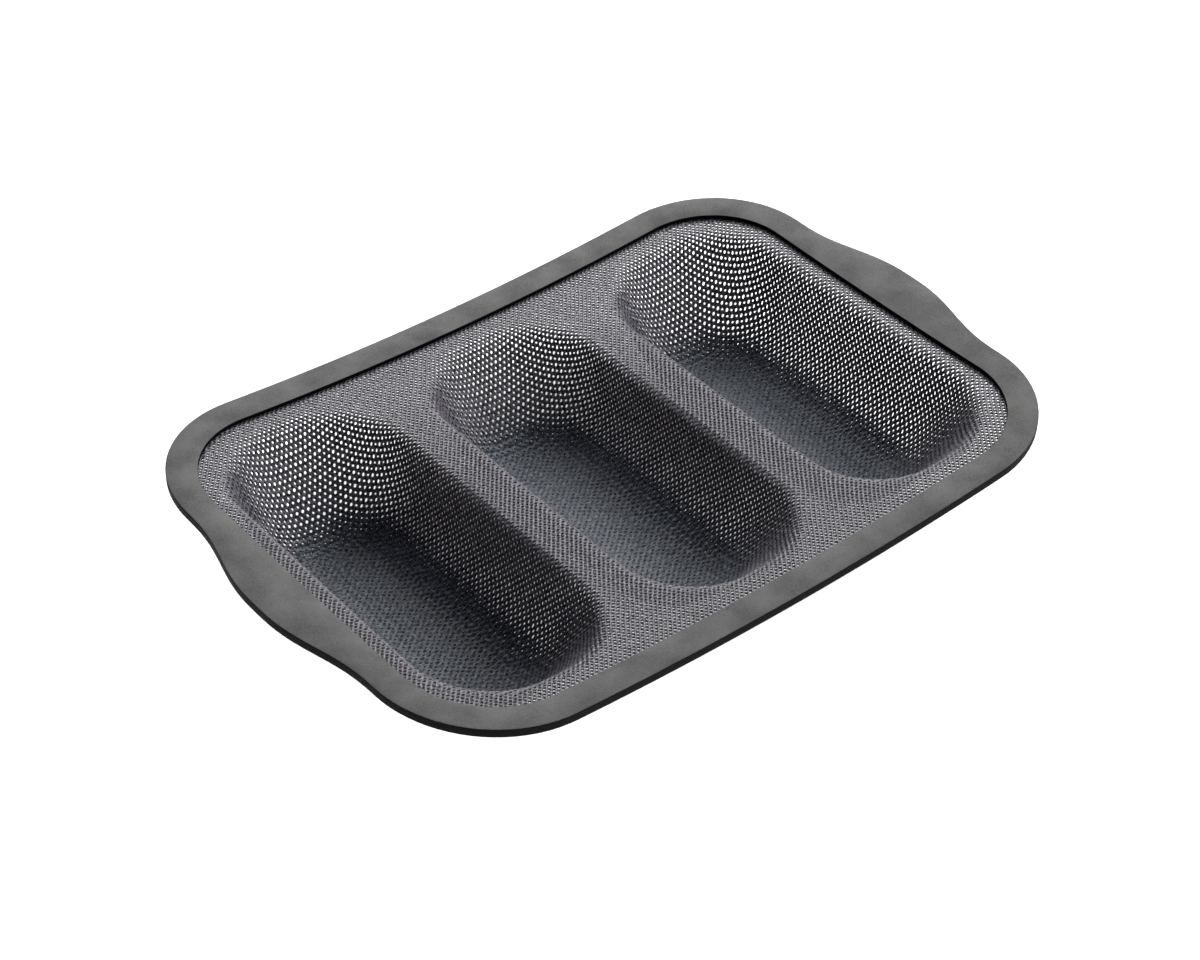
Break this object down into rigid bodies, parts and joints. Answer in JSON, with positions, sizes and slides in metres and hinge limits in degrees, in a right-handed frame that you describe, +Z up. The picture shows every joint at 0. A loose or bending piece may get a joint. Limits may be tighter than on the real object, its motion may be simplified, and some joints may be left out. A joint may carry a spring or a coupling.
{
  "type": "baguette tray",
  "caption": "Baking tray with long rounded troughs in a stiff moulded net, held in a soft silicone frame with two end handles and a steel ring inside.",
  "frame": {"origin": "on the surface the tray stands on, under the middle of the tray", "axes": "+Z up, X along the tray from handle to handle, Y along the troughs"},
  "size_m": [0.3658, 0.245, 0.0548],
  "materials": {
    "silicone": "matte grey silicone, fine mottled grain",
    "steel_wire": "plain drawn wire",
    "coated_net": "silicone-coated glass-fibre net, blue-grey, satin"
  },
  "bodies": {
    "root": {"silicone_rim": "silicone", "rim_wire": "steel_wire", "mesh_liner": "coated_net"}
  },
  "joints": []
}
